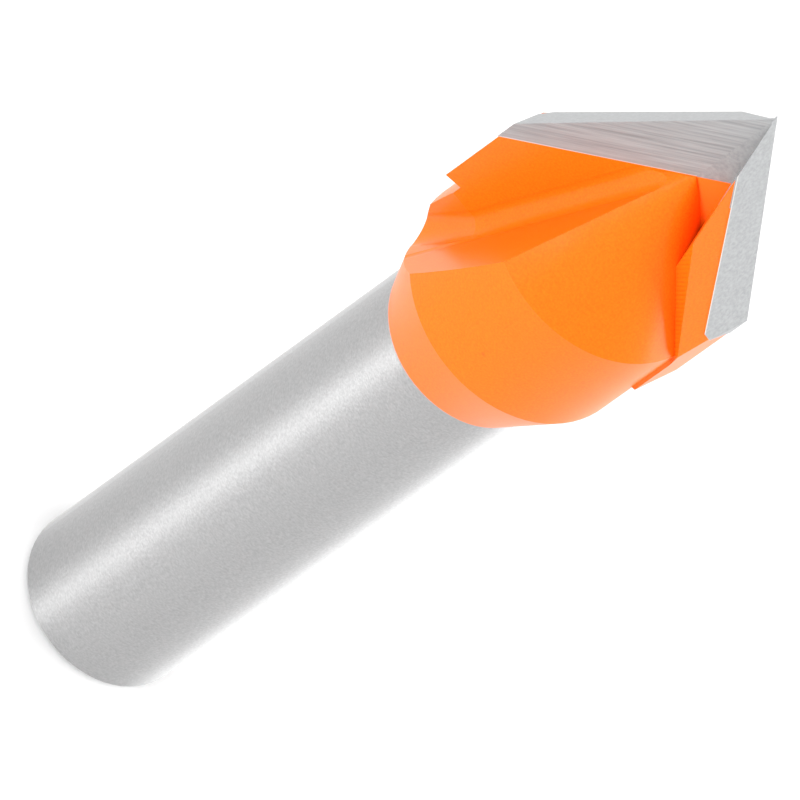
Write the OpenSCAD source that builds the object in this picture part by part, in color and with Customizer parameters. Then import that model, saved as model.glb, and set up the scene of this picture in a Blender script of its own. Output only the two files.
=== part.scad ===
// V groove router bit: a steel body with a plain shank and a two-winged head,
// and two hard metal cutting inserts brazed into seats on the wings.
// The shank end stands on z = 0 and the point is at the top, on the z axis.
// Wing one lies on the +x side and cuts toward +y. Wing two is wing one turned by 180 degrees.

/* [Overall] */
// Length from the shank end to the point
total_length = 52; // [48:0.5:75]
// Diameter swept by the two cutting corners
cutting_diameter = 12.7; // [12.3:0.1:13.6]
// Angle between the two cutting edges
v_angle = 60; // [56:1:66]

/* [Shank] */
// Shank diameter, which the collet grips
shank_diameter = 8; // [6:0.05:9]
// Chamfer round the shank end
shank_chamfer = 0.35; // [0.1:0.05:0.8]

/* [Turned head] */
// Diameter of the round part of the head, between the shoulder and the nose cone
head_diameter = 11; // [10:0.1:11.4]
// Distance from the point back to the shoulder
shoulder_setback = 19.2; // [17.8:0.1:21]
// Length of the tapered collar between shoulder and shank
collar_length = 4.1; // [2.5:0.1:6]
// Distance from the point back to the base of the nose cone
nose_setback = 12.8; // [12:0.1:13.5]
// Angle between opposite sides of the nose cone
nose_angle = 76; // [70:1:84]

/* [Wings] */
// Distance from the point back to the heel of each wing
heel_setback = 16.3; // [14.8:0.1:17.4]
// Thickness of a wing at the ridge along its back
wing_thickness = 2.55; // [2.3:0.05:2.9]
// Thickness of a wing along its straight side
side_thickness = 2.15; // [1.9:0.05:2.5]
// Slope of the back of a wing, down to the nose cone
back_slope = 45; // [38:1:52]
// Clearance angle of an insert behind its cutting edge
flank_relief = 29; // [24:1:32]
// Clearance angle of the steel behind the insert, steeper so that it never rubs
steel_relief = 44; // [38:1:48]
// Clearance angle behind the straight side of each wing
side_relief = 25; // [20:1:30]
// How far the steel lies behind the ground faces of the inserts
steel_inset = 0.04; // [0.02:0.01:0.15]

/* [Gullets] */
// Thickness of the web between the two cutting faces at the axis
web = 0.24; // [0.2:0.02:0.4]
// Distance from the point back to where a gullet wall crosses the axis
gullet_crossing = 5.2; // [4.8:0.1:5.6]
// Angle between a gullet wall and the axis
gullet_angle = 16; // [14.5:0.5:17.5]
// Lean of a gullet wall over its floor
gullet_lean = 12.5; // [8:0.5:16]
// Fillet radius between gullet wall and floor
gullet_fillet = 0.7; // [0.5:0.1:1]
// Angle of the gash that clears the back of the other wing, so that both edges reach the point
gash_angle = 13; // [10:1:16]
// Distance from the heel back to where the gullet floor starts to run out, along the wall
runout_start = 1; // [0.9:0.1:1.5]
// Angle at which the gullet floor runs out
runout_angle = 17; // [12:1:22]

/* [Inserts] */
// Thickness of an insert at the point, from the cutting face to its seat
insert_thickness = 1.35; // [1.2:0.05:1.5]
// Taper of an insert, which is thicker at the cutting corner
insert_taper = 3.2; // [2:0.2:4]
// Distance from the point back to the insert's inner end, at the axis
insert_reach = 5.94; // [5.6:0.02:6.4]
// Angle between the inner end of an insert and the axis
insert_end_angle = 45; // [42:1:48]

/* [Hidden] */
$fn = 96;

cutting_radius = cutting_diameter / 2;
shank_radius = shank_diameter / 2;
head_radius = head_diameter / 2;
half_web = web / 2;
// Longer than any dimension that a cut has to pass through
reach = 2 * total_length;
shoulder_z = total_length - shoulder_setback;
collar_z = shoulder_z - collar_length;
nose_z = total_length - nose_setback;
nose_tip_z = nose_z + head_radius / tan(nose_angle / 2);
heel_z = total_length - heel_setback;
// How much deeper than floor and wall the rounded corner of a gullet is cut
corner_undercut = 0.02;
// How far along its wall a gullet runs from the axis to the start of its run-out
gullet_run = (heel_setback + runout_start - gullet_crossing) / cos(gullet_angle);

// The seat meets the clearance face in a line. At the point it lies this far from the cutting edge,
// across the face, and going down it turns away from the edge by an angle, because the insert tapers.
seat_share = cos(flank_relief) - tan(insert_taper) * sin(flank_relief) * sin(v_angle / 2);
seat_line_offset = insert_thickness / seat_share;
seat_line_angle = atan(tan(insert_taper) * cos(v_angle / 2) / seat_share);

// Turns a child by 180 degrees about the axis, for the second wing
module on_wing(number) {
    rotate([0, 0, 180 * (number - 1)]) children();
}

// Local frame of a cutting edge: origin at the point, x outward, z along the edge
module at_edge() {
    translate([0, half_web, total_length]) rotate([0, -v_angle / 2, 0]) children();
}

// All that lies outside the insert's clearance face
module outside_flank() {
    at_edge()
        rotate([0, 0, -flank_relief])
            translate([0, -reach / 2, -reach]) cube([reach, reach, 2 * reach]);
}

// All that lies outside the steel's steeper clearance face, which starts where the insert's ends
module outside_steel() {
    at_edge()
        rotate([0, 0, -flank_relief])
            translate([0, -seat_line_offset, 0])
                rotate([-seat_line_angle, 0, 0])
                    rotate([0, 0, flank_relief - steel_relief])
                        translate([-steel_inset, -reach / 2, -reach]) cube([reach, reach, 2 * reach]);
}

// All that lies outside the clearance face of the straight side
module outside_side(inset) {
    translate([cutting_radius, half_web, total_length / 2])
        rotate([0, 0, -side_relief])
            translate([-inset, -reach / 2, -reach]) cube([reach, reach, 2 * reach]);
}

// Air of a gullet in section: floor along x, wall leaning over it, rounded corner
module gullet_section() {
    centre = [gullet_fillet * (1 + sin(gullet_lean)) / cos(gullet_lean), gullet_fillet];
    union() {
        polygon([
            [centre.x, 0],
            [reach, 0],
            [reach, reach],
            [reach * tan(gullet_lean), reach],
            centre + gullet_fillet * [-cos(gullet_lean), sin(gullet_lean)]
        ]);
        translate(centre) circle(r = gullet_fillet + corner_undercut);
    }
}

// Frame of a gullet: origin on the axis, z up along its wall, floor facing +y
module at_gullet() {
    translate([0, half_web, total_length - gullet_crossing])
        rotate([0, -gullet_angle, 0]) children();
}

// Air in front of one cutting face: a straight pass, and a deeper one that turns within the wall's plane
module gullet() {
    at_gullet() {
        translate([0, 0, -reach]) linear_extrude(reach) gullet_section();
        translate([0, 0, -gullet_run])
            rotate(a = -runout_angle, v = [cos(gullet_lean), -sin(gullet_lean), 0])
                translate([corner_undercut, 0, -reach]) linear_extrude(reach) gullet_section();
    }
}

// Gash in front of one cutting face, which takes the back of the other wing off beside the point
module gash() {
    translate([0, half_web, total_length])
        rotate([0, gash_angle, 0])
            translate([0, 0, -reach]) cube([reach, reach, 2 * reach]);
}

// All that lies on the point's side of an insert's inner end
module above_inner_end() {
    translate([0, 0, total_length - insert_reach])
        rotate([0, 90 - insert_end_angle, 0])
            translate([-reach, -reach / 2, 0]) cube([2 * reach, reach, reach]);
}

// Air over the ground face of an insert, where the gullet's corner rises above its floor
module ground_clearing() {
    intersection() {
        gash();
        above_inner_end();
    }
}

// Space of an insert and its seat, below the cutting face, from the axis out past the edge
module insert_space() {
    intersection() {
        translate([0, half_web - reach, 0]) cube([reach, reach, reach]);
        // In front of the seat face, which leans back toward the cutting corner
        translate([0, half_web - insert_thickness, total_length])
            rotate([-insert_taper, 0, 0])
                translate([0, 0, -reach]) cube([reach, reach, 2 * reach]);
        above_inner_end();
    }
}

// Steel of one wing before the gullets are cut: a rib along the edge and one along the side
module wing() {
    seat_middle = insert_thickness + insert_reach * tan(insert_taper);
    ridge = seat_middle * tan(flank_relief) + (wing_thickness + half_web - seat_middle) * tan(steel_relief);
    difference() {
        intersection() {
            union() {
                at_edge()
                    translate([0, -half_web, -reach])
                        linear_extrude(reach)
                            polygon([
                                [0, half_web],
                                [0, -wing_thickness - ridge * tan(back_slope)],
                                [-ridge - wing_thickness / tan(back_slope), 0],
                                [-ridge - wing_thickness / tan(back_slope), half_web]
                            ]);
                translate([0, -side_thickness, heel_z])
                    cube([reach, side_thickness + half_web, nose_z - heel_z]);
            }
            translate([0, -reach / 2, heel_z]) cube([reach, reach, reach]);
        }
        outside_steel();
        outside_side(steel_inset);
        rotate([0, 0, 180]) gash();
    }
}

// Plain shank with a chamfered end
module shank() {
    rotate_extrude()
        polygon([
            [0, 0],
            [shank_radius - shank_chamfer, 0],
            [shank_radius, shank_chamfer],
            [shank_radius, collar_z],
            [0, collar_z]
        ]);
}

// Collar, round head and nose cone
module turned_head() {
    rotate_extrude()
        polygon([
            [0, collar_z],
            [shank_radius, collar_z],
            [head_radius, shoulder_z],
            [head_radius, nose_z],
            [0, nose_tip_z]
        ]);
}

// Steel body: turned head with wings, less gullets and insert seats, on the bare shank
module body() {
    union() {
        color("lightgray") shank();
        color("darkorange")
            difference() {
                union() {
                    turned_head();
                    for (number = [1, 2]) on_wing(number) wing();
                }
                for (number = [1, 2]) on_wing(number) {
                    gullet();
                    ground_clearing();
                    insert_space();
                }
            }
    }
}

// Brazed insert: ground cutting face, clearance faces and seat
module insert(number) {
    color("silver")
        on_wing(number)
            difference() {
                insert_space();
                outside_flank();
                outside_side(0);
                rotate([0, 0, 180]) gash();
            }
}

body();
insert(1);  // insert_1
insert(2);  // insert_2
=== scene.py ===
# %% [markdown]
# # A V groove router bit
#
# This lesson dresses one small cutting tool: a steel body with a plain round shank and an orange head with
# two wings, and a ground carbide insert on each wing. The solids come from CAD and stay as they are. What is
# made here is what the eye needs on top of them: finishes, a floor, light and a camera.

# %% Load the solids
import math

import bpy
from mathutils import Matrix, Vector


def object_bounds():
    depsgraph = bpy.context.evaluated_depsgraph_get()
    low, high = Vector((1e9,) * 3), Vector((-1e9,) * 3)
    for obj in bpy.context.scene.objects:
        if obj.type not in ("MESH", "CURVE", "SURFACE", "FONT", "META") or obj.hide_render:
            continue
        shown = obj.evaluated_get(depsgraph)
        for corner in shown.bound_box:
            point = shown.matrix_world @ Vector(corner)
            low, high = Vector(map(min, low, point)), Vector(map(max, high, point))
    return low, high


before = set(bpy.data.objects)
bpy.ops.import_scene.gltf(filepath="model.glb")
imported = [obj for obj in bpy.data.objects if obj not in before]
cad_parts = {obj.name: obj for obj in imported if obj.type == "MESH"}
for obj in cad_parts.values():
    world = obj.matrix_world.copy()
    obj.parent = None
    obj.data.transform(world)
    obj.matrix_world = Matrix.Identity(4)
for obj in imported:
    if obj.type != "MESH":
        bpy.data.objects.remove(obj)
cad_box = [list(corner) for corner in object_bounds()]
print("nodes:", sorted(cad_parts), "box in metres:", cad_box)

# %% [markdown]
# ## Units and colours
#
# Blender works in metres, while a cutting tool is dimensioned in millimetres, so one constant turns one into
# the other. A colour is given as an sRGB hex value. Shaders add and multiply light, so they need linear
# values, and one function makes the change.

# %% Helpers for units and colours
MM = 0.001


def linear(hex_colour):
    """Turns an sRGB hex colour such as "ff8018" into linear red, green, blue and alpha."""
    channels = [int(hex_colour[i : i + 2], 16) / 255 for i in (0, 2, 4)]
    return [c / 12.92 if c <= 0.04045 else ((c + 0.055) / 1.055) ** 2.4 for c in channels] + [1.0]


print("orange in linear light:", [round(c, 3) for c in linear("ff8018")])

# %% [markdown]
# ## Building a shader
#
# A finish is a tree of nodes. Written out by hand, each node takes a line to make it and a line for each
# setting and link. One small function does all of that, so a finish reads from the place on the surface to
# its colour. It returns one of the node's results, ready to feed the next node.


# %% Helper that adds a node
def add(tree, kind, settings, inputs, result=0):
    """Adds a shader node with its settings, and sets its inputs or links them. Returns one of its outputs."""
    node = tree.nodes.new("ShaderNode" + kind)
    for name, value in settings.items():
        setattr(node, name, value)
    for name, value in inputs.items():
        if isinstance(value, bpy.types.NodeSocket):
            tree.links.new(value, node.inputs[name])
        else:
            node.inputs[name].default_value = value
    return node.outputs[result] if node.outputs else None


# Settings that several nodes share
MULTIPLY = {"operation": "MULTIPLY"}
MULTIPLY_ADD = {"operation": "MULTIPLY_ADD"}
SUBTRACT = {"operation": "SUBTRACT"}
DOT_PRODUCT = {"operation": "DOT_PRODUCT"}
COLOUR = {"data_type": "RGBA"}
# A Mix node holds sockets for numbers, vectors and colours. These are the places of its colour sockets.
MIX_A = 6
MIX_B = 7
MIX_RESULT = 2
print("shader nodes are added by one helper")

# %% [markdown]
# ## A place on a wing
#
# The second wing is the first one turned by 180 degrees about the tool's axis. The distance outward from the
# axis, and the sideways place times the sign of x, come out the same on both. So one material can draw the
# same marks on both wings.


# %% Helpers that start a material and find the place on a wing
def empty_material(name):
    """Makes a material with an empty tree. Returns it, the tree and the place on the object."""
    material = bpy.data.materials.new(name)
    material.use_nodes = True
    material.node_tree.nodes.clear()
    return material, material.node_tree, add(material.node_tree, "TexCoord", {}, {}, "Object")


def on_own_side(tree, place):
    """Returns a place as outward, forward and up, alike on both wings, and the side it is on, 1 or -1."""
    axes = add(tree, "SeparateXYZ", {}, {0: place}).node.outputs
    outward = add(tree, "Math", {"operation": "ABSOLUTE"}, {0: axes["X"]})
    side = add(tree, "Math", {"operation": "SIGN"}, {0: axes["X"]})
    forward = add(tree, "Math", MULTIPLY, {0: axes["Y"], 1: side})
    return outward, forward, axes["Z"], side


print("wing one lies on the +x side and cuts toward +y")

# %% [markdown]
# ## Tool steel with a coated head
#
# The body is one piece of tool steel. Its shank is ground to size and left bare, so that the collet grips
# clean metal, and its head is sprayed with an orange coating. Spray ends in an edge that isn't quite even.
# Both finishes share one mesh, so they are one material with a mask: the height along the tool, shifted by
# slow noise.

# %% Mask of the coating
body_steel, tree, place = empty_material("coated tool steel")
outward, forward, height = on_own_side(tree, place)[:3]
COATING_EDGE = 28.85 * MM
EDGE_WANDER = 0.5 * MM
WANDER_LENGTH = 9 * MM
FADE_BELOW = 0.02 * MM
FADE_ABOVE = 0.04 * MM
lowest_edge = COATING_EDGE - EDGE_WANDER / 2
wander = add(tree, "TexNoise", {}, {"Vector": place, "Scale": 1 / WANDER_LENGTH, "Detail": 2.0}, "Fac")
edge = add(tree, "Math", MULTIPLY_ADD, {0: wander, 1: EDGE_WANDER, 2: lowest_edge})
above = add(tree, "Math", SUBTRACT, {0: height, 1: edge})
coated = add(tree, "MapRange", {}, {"Value": above, "From Min": -FADE_BELOW, "From Max": FADE_ABOVE})
print("coating ends near", COATING_EDGE / MM, "mm up the shank")

# %% [markdown]
# ## Ground steel
#
# Centreless grinding leaves fine marks on the shank. They are too fine to see one by one, and give the metal
# a silky grain, a little longer round the shank than along it. Real marks are about 0.02 mm apart. Here they
# are drawn more than four times as coarse, so that they show.

# %% Colour and roughness of the shank
GRAIN = 0.09 * MM
GRAIN_STRETCH = 0.7
grain_scale = (GRAIN_STRETCH / GRAIN, GRAIN_STRETCH / GRAIN, 1 / GRAIN)
grain_place = add(tree, "Mapping", {}, {"Vector": place, "Scale": grain_scale})
grain_inputs = {"Vector": grain_place, "Scale": 1.0, "Detail": 3.0, "Roughness": 0.6}
grain = add(tree, "TexNoise", {}, grain_inputs, "Fac")
steel_greys = {"Factor": grain, MIX_A: linear("969697"), MIX_B: linear("cecece")}
steel_colour = add(tree, "Mix", COLOUR, steel_greys, MIX_RESULT)
steel_roughness = add(tree, "MapRange", {}, {"Value": grain, "To Min": 0.42, "To Max": 0.56})
print("shank grain in mm:", GRAIN / MM)

# %% [markdown]
# ## The orange coating
#
# The coating is a thin sprayed lacquer. It is a dielectric, so its colour comes from within, and its gloss
# shows white at a grazing angle. Its skin has a fine orange peel of about 0.1 mm. A few tiny specks of dust
# are caught in it, and each is drawn in the middle of one cell of a Voronoi pattern.

# %% Colour and roughness of the coating
PEEL = 0.1 * MM
DUST_SPACING = 3.5 * MM
# Radius of a speck as a share of the spacing
DUST_SIZE = 0.04
DUST_STRENGTH = 0.55
peel_inputs = {"Vector": place, "Scale": 1 / PEEL, "Detail": 3.0, "Roughness": 0.55}
peel = add(tree, "TexNoise", {}, peel_inputs, "Fac")
lacquer_oranges = {"Factor": peel, MIX_A: linear("f06008"), MIX_B: linear("ff8014")}
lacquer = add(tree, "Mix", COLOUR, lacquer_oranges, MIX_RESULT)
from_speck = add(tree, "TexVoronoi", {}, {"Vector": place, "Scale": 1 / DUST_SPACING}, "Distance")
speck_range = {"Value": from_speck, "From Max": DUST_SIZE, "To Min": DUST_STRENGTH, "To Max": 0.0}
specks = add(tree, "MapRange", {}, speck_range)
dusted = {"Factor": specks, MIX_A: lacquer, MIX_B: linear("8a4a18")}
coating_colour = add(tree, "Mix", COLOUR, dusted, MIX_RESULT)
coating_roughness = add(tree, "MapRange", {}, {"Value": peel, "To Min": 0.34, "To Max": 0.46})
print("orange peel in mm:", PEEL / MM)

# %% [markdown]
# ## Feed marks
#
# The backs of the wings are milled, and the cutter leaves a small step at each turn, 0.18 mm from the last
# one. The lacquer doesn't fill them. They run across the sloping face next to each ridge, which the mask
# finds by its normal: the same slope, turned by 180 degrees for the second wing. The collar has places with
# that normal too, so the mask starts above the heels of the wings.

# %% Mask of the sloping backs
HALF_POINT_ANGLE = math.radians(30)
HEEL_HEIGHT = 35.7 * MM
facing = add(tree, "TexCoord", {}, {}, "Normal")
slope = Vector((-math.cos(HALF_POINT_ANGLE), -1, -math.sin(HALF_POINT_ANGLE))) / math.sqrt(2)
turned_slope = Vector((-slope.x, -slope.y, slope.z))
like_one = add(tree, "VectorMath", DOT_PRODUCT, {0: facing, 1: slope}, "Value")
like_two = add(tree, "VectorMath", DOT_PRODUCT, {0: facing, 1: turned_slope}, "Value")
either = add(tree, "Math", {"operation": "MAXIMUM"}, {0: like_one, 1: like_two})
on_slope = add(tree, "MapRange", {}, {"Value": either, "From Min": 0.98, "From Max": 0.99})
above_heel = add(tree, "Math", {"operation": "GREATER_THAN"}, {0: height, 1: HEEL_HEIGHT})
on_wing_back = add(tree, "Math", MULTIPLY, {0: on_slope, 1: above_heel})
print("feed marks start at", HEEL_HEIGHT / MM, "mm")

# %% [markdown]
# A mark is a wave along the direction of feed, which crosses the face at a slant. Real marks are never quite
# even, so slow noise makes each one stronger in one place than in the next. The wave is a bump, and it is
# also drawn as a darker orange, which is painted shade of the steps.

# %% Feed marks
FEED = 0.18 * MM
# Outward, forward and up
FEED_DIRECTION = Vector((0.79, -0.53, -0.31))
UNEVEN_LENGTH = 3 * FEED
wing_place = add(tree, "CombineXYZ", {}, {"X": outward, "Y": forward, "Z": height})
travel = add(tree, "VectorMath", DOT_PRODUCT, {0: wing_place, 1: FEED_DIRECTION}, "Value")
turn = add(tree, "Math", MULTIPLY, {0: travel, 1: 2 * math.pi / FEED})
wave = add(tree, "Math", {"operation": "SINE"}, {0: turn})
uneven = add(tree, "TexNoise", {}, {"Vector": place, "Scale": 1 / UNEVEN_LENGTH, "Detail": 2.0}, "Fac")
uneven_wave = add(tree, "Math", MULTIPLY, {0: wave, 1: uneven})
feed_marks = add(tree, "Math", MULTIPLY, {0: uneven_wave, 1: on_wing_back})
# The darker orange along each mark is painted shade of the step, on top of its bump.
shade = add(tree, "MapRange", {}, {"Value": feed_marks, "To Max": 0.6})
shaded = {"Factor": shade, MIX_A: coating_colour, MIX_B: linear("e04a08")}
marks_and_painted_shade_colour = add(tree, "Mix", COLOUR, shaded, MIX_RESULT)
print("feed marks in mm:", FEED / MM)

# %% [markdown]
# ## One relief for steel and coating
#
# The mask now joins both finishes. The grain, the orange peel and the feed marks are one relief, which goes
# in as a bump. The film of lacquer adds to it, so its edge on the shank stands proud.

# %% Relief of the body
FILM_STEP = 0.6
MARK_DEPTH = 2.0
BODY_RELIEF = 0.04 * MM
skin = add(tree, "Mix", {}, {"Factor": coated, "A": grain, "B": peel})
film = add(tree, "Math", MULTIPLY_ADD, {0: coated, 1: FILM_STEP, 2: skin})
relief = add(tree, "Math", MULTIPLY_ADD, {0: feed_marks, 1: MARK_DEPTH, 2: film})
body_bump = add(tree, "Bump", {}, {"Height": relief, "Strength": 0.25, "Distance": BODY_RELIEF})
print("relief of the body in mm:", BODY_RELIEF / MM)

# %% [markdown]
# ## One surface for steel and coating
#
# Grinding marks run round the shank, so its gloss is stretched along the tool: that is the anisotropy, turned
# by a tangent that runs round the axis. The coating gets a thin clear layer on top, which reflects the white
# of the tent at the rims only.

# %% Surface of the body
joined_colours = {"Factor": coated, MIX_A: steel_colour, MIX_B: marks_and_painted_shade_colour}
surface = add(
    tree,
    "BsdfPrincipled",
    {},
    {
        "Base Color": add(tree, "Mix", COLOUR, joined_colours, MIX_RESULT),
        "Metallic": add(tree, "Math", SUBTRACT, {0: 1.0, 1: coated}),
        "Roughness": add(tree, "Mix", {}, {"Factor": coated, "A": steel_roughness, "B": coating_roughness}),
        "Normal": body_bump,
        "Tangent": add(tree, "Tangent", {"direction_type": "RADIAL", "axis": "Z"}, {}),
        "Anisotropic": 0.8,
        "Anisotropic Rotation": 0.25,
        "Coat Weight": coated,
        "Coat IOR": 1.25,
        "Coat Roughness": 0.3,
        "Specular IOR Level": 0.0,
    },
)
add(tree, "OutputMaterial", {}, {"Surface": surface})
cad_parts["body"].material_slots[0].material = body_steel
print("body wears:", body_steel.name)

# %% [markdown]
# ## Ground carbide
#
# The inserts are cemented carbide, ground with a diamond wheel. The wheel crosses the cutting face at 45
# degrees and leaves straight fine lines, while the clearance faces look finely mottled. The photograph shows
# a flat neutral grey that hardly mirrors the orange beside it. So the surface is only partly metallic, which
# keeps the orange out of it.

# %% Place on an insert
carbide, tree, place = empty_material("ground carbide")
outward, forward, height, side = on_own_side(tree, place)
POINT_HEIGHT = cad_box[1][2]
depth = add(tree, "Math", SUBTRACT, {0: POINT_HEIGHT, 1: height})
normal = add(tree, "SeparateXYZ", {}, {0: add(tree, "TexCoord", {}, {}, "Normal")}).node.outputs
facing_forward = add(tree, "Math", MULTIPLY, {0: normal["Y"], 1: side})
facing_outward = add(tree, "Math", MULTIPLY, {0: normal["X"], 1: side})
on_cutting_face = add(tree, "MapRange", {}, {"Value": facing_forward, "From Min": 0.95, "From Max": 0.97})
print("point at", POINT_HEIGHT / MM, "mm")

# %% [markdown]
# The grinding lines are noise, stretched along the path of the wheel. Outward plus depth runs along that
# path, and outward less depth runs across it. Real lines are about a tenth as wide, and are drawn coarser so
# that they show, like the mottle of the clearance faces.

# %% Grinding lines and mottle
LINE_PITCH = 0.16 * MM
LINE_LENGTH = 7 * MM
MOTTLE = 0.17 * MM
across = add(tree, "Math", SUBTRACT, {0: outward, 1: depth})
along = add(tree, "Math", {"operation": "ADD"}, {0: outward, 1: depth})
wheel_place = add(tree, "CombineXYZ", {}, {"X": across, "Y": along, "Z": forward})
line_scale = (1 / LINE_PITCH, 1 / LINE_LENGTH, 1 / LINE_PITCH)
line_place = add(tree, "Mapping", {}, {"Vector": wheel_place, "Scale": line_scale})
line_inputs = {"Vector": line_place, "Scale": 1.0, "Detail": 4.0, "Roughness": 0.7}
lines = add(tree, "TexNoise", {}, line_inputs, "Fac")
mottle_inputs = {"Vector": place, "Scale": 1 / MOTTLE, "Detail": 4.0, "Roughness": 0.6}
mottle = add(tree, "TexNoise", {}, mottle_inputs, "Fac")
faint_mottle = add(tree, "MapRange", {}, {"Value": mottle, "To Min": 0.2, "To Max": 0.8})
ground = add(tree, "Mix", {}, {"Factor": on_cutting_face, "A": faint_mottle, "B": lines})
pattern = add(tree, "MapRange", {}, {"Value": ground, "From Min": 0.25, "From Max": 0.75})
print("grinding lines in mm:", LINE_PITCH / MM, "by", LINE_LENGTH / MM)

# %% [markdown]
# ## Braze line and its highlight
#
# An insert is held in its seat by braze, and the joint shows as a thin bright line between carbide and
# coating. The line is partly silver solder and partly a painted highlight on the edge of the small step
# there.
# On the cutting face the joint is the insert's inner end, which lies at 45 degrees. On the clearance face it
# is the seat, which leans back by the insert's taper. The mask is the distance from these two planes of the
# solid.

# %% Distance from the joint
INNER_END = 5.94 * MM
SEAT_BEHIND = 1.23 * MM
SEAT_TAPER = math.radians(3.2)
BRAZE_HIGHLIGHT_WIDTH = 0.06 * MM
BRAZE_HIGHLIGHT_CORE = 0.6 * BRAZE_HIGHLIGHT_WIDTH
END_SLOPE = math.sqrt(0.5)
end_gap = add(tree, "Math", MULTIPLY_ADD, {0: across, 1: END_SLOPE, 2: INNER_END * END_SLOPE})
seat_start = SEAT_BEHIND * math.cos(SEAT_TAPER)
seat_by_depth = add(tree, "Math", MULTIPLY_ADD, {0: depth, 1: math.sin(SEAT_TAPER), 2: seat_start})
seat_gap = add(tree, "Math", MULTIPLY_ADD, {0: forward, 1: math.cos(SEAT_TAPER), 2: seat_by_depth})
gap = add(tree, "Mix", {}, {"Factor": on_cutting_face, "A": seat_gap, "B": end_gap})
near_joint = add(tree, "MapRange", {}, {"Value": gap, "From Min": BRAZE_HIGHLIGHT_WIDTH, "From Max": BRAZE_HIGHLIGHT_CORE})
print("braze line in mm:", BRAZE_HIGHLIGHT_WIDTH / MM)

# %% [markdown]
# ## Overspray
#
# The gash takes the back of an insert off beside the axis. Its faces look straight back or straight in, so
# they are found by their normals. There is no braze line or painted highlight on them. The coating runs on
# over them, as far up as the line of the other insert's inner end, carried on past the axis.

# %% Masks of the overspray and of the braze line with its painted highlight
OVERSPRAY_FADE = 0.05 * MM
least = add(tree, "Math", {"operation": "MINIMUM"}, {0: facing_forward, 1: facing_outward})
in_gash = add(tree, "MapRange", {}, {"Value": least, "From Min": -0.9, "From Max": -0.92})
spray_range = {"Value": along, "From Min": INNER_END, "From Max": INNER_END + OVERSPRAY_FADE}
below_line = add(tree, "MapRange", {}, spray_range)
oversprayed = add(tree, "Math", MULTIPLY, {0: in_gash, 1: below_line})
out_of_gash = add(tree, "Math", SUBTRACT, {0: 1.0, 1: in_gash})
braze_and_highlight = add(tree, "Math", MULTIPLY, {0: near_joint, 1: out_of_gash})
print("overspray fades over mm:", OVERSPRAY_FADE / MM)

# %% [markdown]
# ## Surface of the inserts
#
# The colours go on in the order of the work: ground carbide, then solder with a painted highlight on the
# edge of its step, then coating. The coating is no metal, so the metallic value drops to 0 under it.

# %% Surface of the inserts
CARBIDE_METALLIC = 0.2
CARBIDE_RELIEF = 0.03 * MM
ground_greys = {"Factor": pattern, MIX_A: linear("848687"), MIX_B: linear("b0b1b2")}
ground_colour = add(tree, "Mix", COLOUR, ground_greys, MIX_RESULT)
# The bright line is partly solder colour and partly a painted highlight of the step's edge.
with_solder_and_highlight = {"Factor": braze_and_highlight, MIX_A: ground_colour, MIX_B: linear("c4c2be")}
braze_and_highlight_colour = add(tree, "Mix", COLOUR, with_solder_and_highlight, MIX_RESULT)
with_spray = {"Factor": oversprayed, MIX_A: braze_and_highlight_colour, MIX_B: linear("fd730f")}
metallic_range = {"Value": oversprayed, "To Min": CARBIDE_METALLIC, "To Max": 0.0}
surface = add(
    tree,
    "BsdfPrincipled",
    {},
    {
        "Base Color": add(tree, "Mix", COLOUR, with_spray, MIX_RESULT),
        "Metallic": add(tree, "MapRange", {}, metallic_range),
        "Roughness": add(tree, "MapRange", {}, {"Value": pattern, "To Min": 0.36, "To Max": 0.5}),
        "Normal": add(tree, "Bump", {}, {"Height": pattern, "Strength": 0.2, "Distance": CARBIDE_RELIEF}),
        "Specular IOR Level": 0.2,
    },
)
add(tree, "OutputMaterial", {}, {"Surface": surface})
for name in ("insert_1", "insert_2"):
    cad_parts[name].material_slots[0].material = carbide
print("inserts wear:", carbide.name)

# %% [markdown]
# ## Floor
#
# The bit stands on its shank end on a plain white board, as in a light tent.

# %% Floor
FLOOR_HALF = 1.5
corner_signs = [(-1, -1), (1, -1), (1, 1), (-1, 1)]
floor_mesh = bpy.data.meshes.new("floor")
floor_mesh.from_pydata([(x * FLOOR_HALF, y * FLOOR_HALF, 0) for x, y in corner_signs], [], [(0, 1, 2, 3)])
floor = bpy.data.objects.new("floor", floor_mesh)
bpy.context.collection.objects.link(floor)
board = bpy.data.materials.new("white board")
board.use_nodes = True
board_surface = board.node_tree.nodes["Principled BSDF"].inputs
board_surface["Base Color"].default_value = linear("f7f7f7")
board_surface["Roughness"].default_value = 0.9
floor_mesh.materials.append(board)
print("floor side in metres:", 2 * FLOOR_HALF)

# %% [markdown]
# ## Light
#
# A light tent surrounds the tool with white, which is the world here. The plain sRGB view keeps the white of
# the board and the strength of the orange, as a catalogue picture does.

# %% World
TENT_STRENGTH = 0.78
world = bpy.data.worlds.new("light tent")
bpy.context.scene.world = world
world.use_nodes = True
tent = world.node_tree.nodes["Background"].inputs
tent["Color"].default_value = linear("ffffff")
tent["Strength"].default_value = TENT_STRENGTH
bpy.context.scene.view_settings.view_transform = "Standard"
print("strength of the tent:", TENT_STRENGTH)

# %% [markdown]
# Soft boxes low on both sides put the white sheen on the rims of the head. A third one, high in front, fills
# the faces turned to the camera, and a small fourth one draws the bright band along the shank. Each is placed
# by its azimuth and elevation, and faces the middle of the tool.

# %% Soft boxes
TOOL_MIDDLE = Vector((0, 0, 30 * MM))
LIGHT_DISTANCE = 0.6


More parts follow.
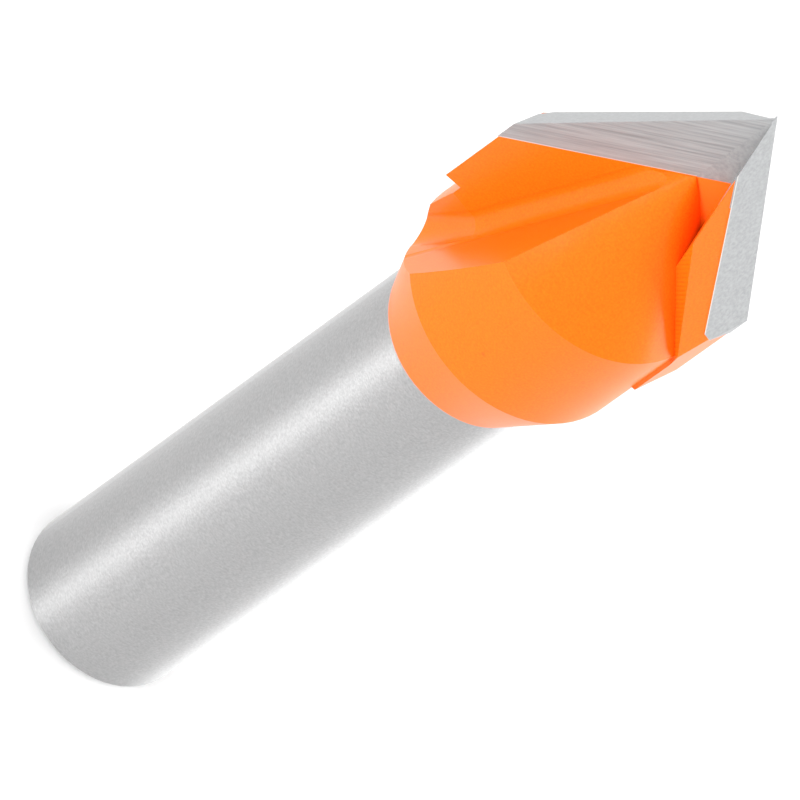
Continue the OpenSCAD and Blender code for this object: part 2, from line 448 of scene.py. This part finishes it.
def direction(azimuth, elevation):
    """Unit vector toward an azimuth from +X and an elevation above the floor, both in degrees."""
    flat = math.cos(math.radians(elevation))
    east = math.cos(math.radians(azimuth)) * flat
    north = math.sin(math.radians(azimuth)) * flat
    return Vector((east, north, math.sin(math.radians(elevation))))


def soft_box(name, azimuth, elevation, size, watts):
    """Adds a square area light that faces the tool. Size is in metres."""
    light = bpy.data.lights.new(name, "AREA")
    light.size = size
    light.energy = watts
    lamp = bpy.data.objects.new(name, light)
    toward = direction(azimuth, elevation)
    lamp.location = TOOL_MIDDLE + LIGHT_DISTANCE * toward
    lamp.rotation_euler = toward.to_track_quat("Z", "Y").to_euler()
    bpy.context.collection.objects.link(lamp)


soft_box("right light", azimuth=200, elevation=6, size=0.5, watts=5)
soft_box("left light", azimuth=-65, elevation=6, size=0.5, watts=2.5)
soft_box("front light", azimuth=85, elevation=58, size=0.4, watts=1.1)
soft_box("band light", azimuth=43, elevation=12, size=0.15, watts=1.8)

# %% [markdown]
# ## Camera
#
# The photograph looks down on the tool from the side of the point, with a long lens, and the camera is rolled
# so that the tool lies across the picture. The numbers come from a camera fitted to the outline of the
# solids. It stands 1.2 m away, which is near enough for every view to be taken with the same lens.

# %% Camera
CAMERA_AZIMUTH = 72.62
CAMERA_ELEVATION = 49.26
CAMERA_ROLL = math.radians(-54.28)
CAMERA_DISTANCE = 1186.0 * MM
AIM = Vector((-0.37, 0.11, 22.84)) * MM
SENSOR_WIDTH = 36
# Focal length as a multiple of the sensor's width
LENS_REACH = 36
back = direction(CAMERA_AZIMUTH, CAMERA_ELEVATION)
level = Vector((0, 0, 1)).cross(back).normalized()
upright = back.cross(level)
up = math.cos(CAMERA_ROLL) * upright + math.sin(CAMERA_ROLL) * level
right = up.cross(back)
lens = bpy.data.cameras.new("long lens")
lens.sensor_width = SENSOR_WIDTH
lens.lens = LENS_REACH * SENSOR_WIDTH
camera = bpy.data.objects.new("camera", lens)
turned = Matrix((right, up, back)).transposed().to_4x4()
camera.matrix_world = Matrix.Translation(AIM + CAMERA_DISTANCE * back) @ turned
bpy.context.collection.objects.link(camera)
bpy.context.scene.camera = camera
print("camera at", [round(c, 3) for c in camera.matrix_world.translation])
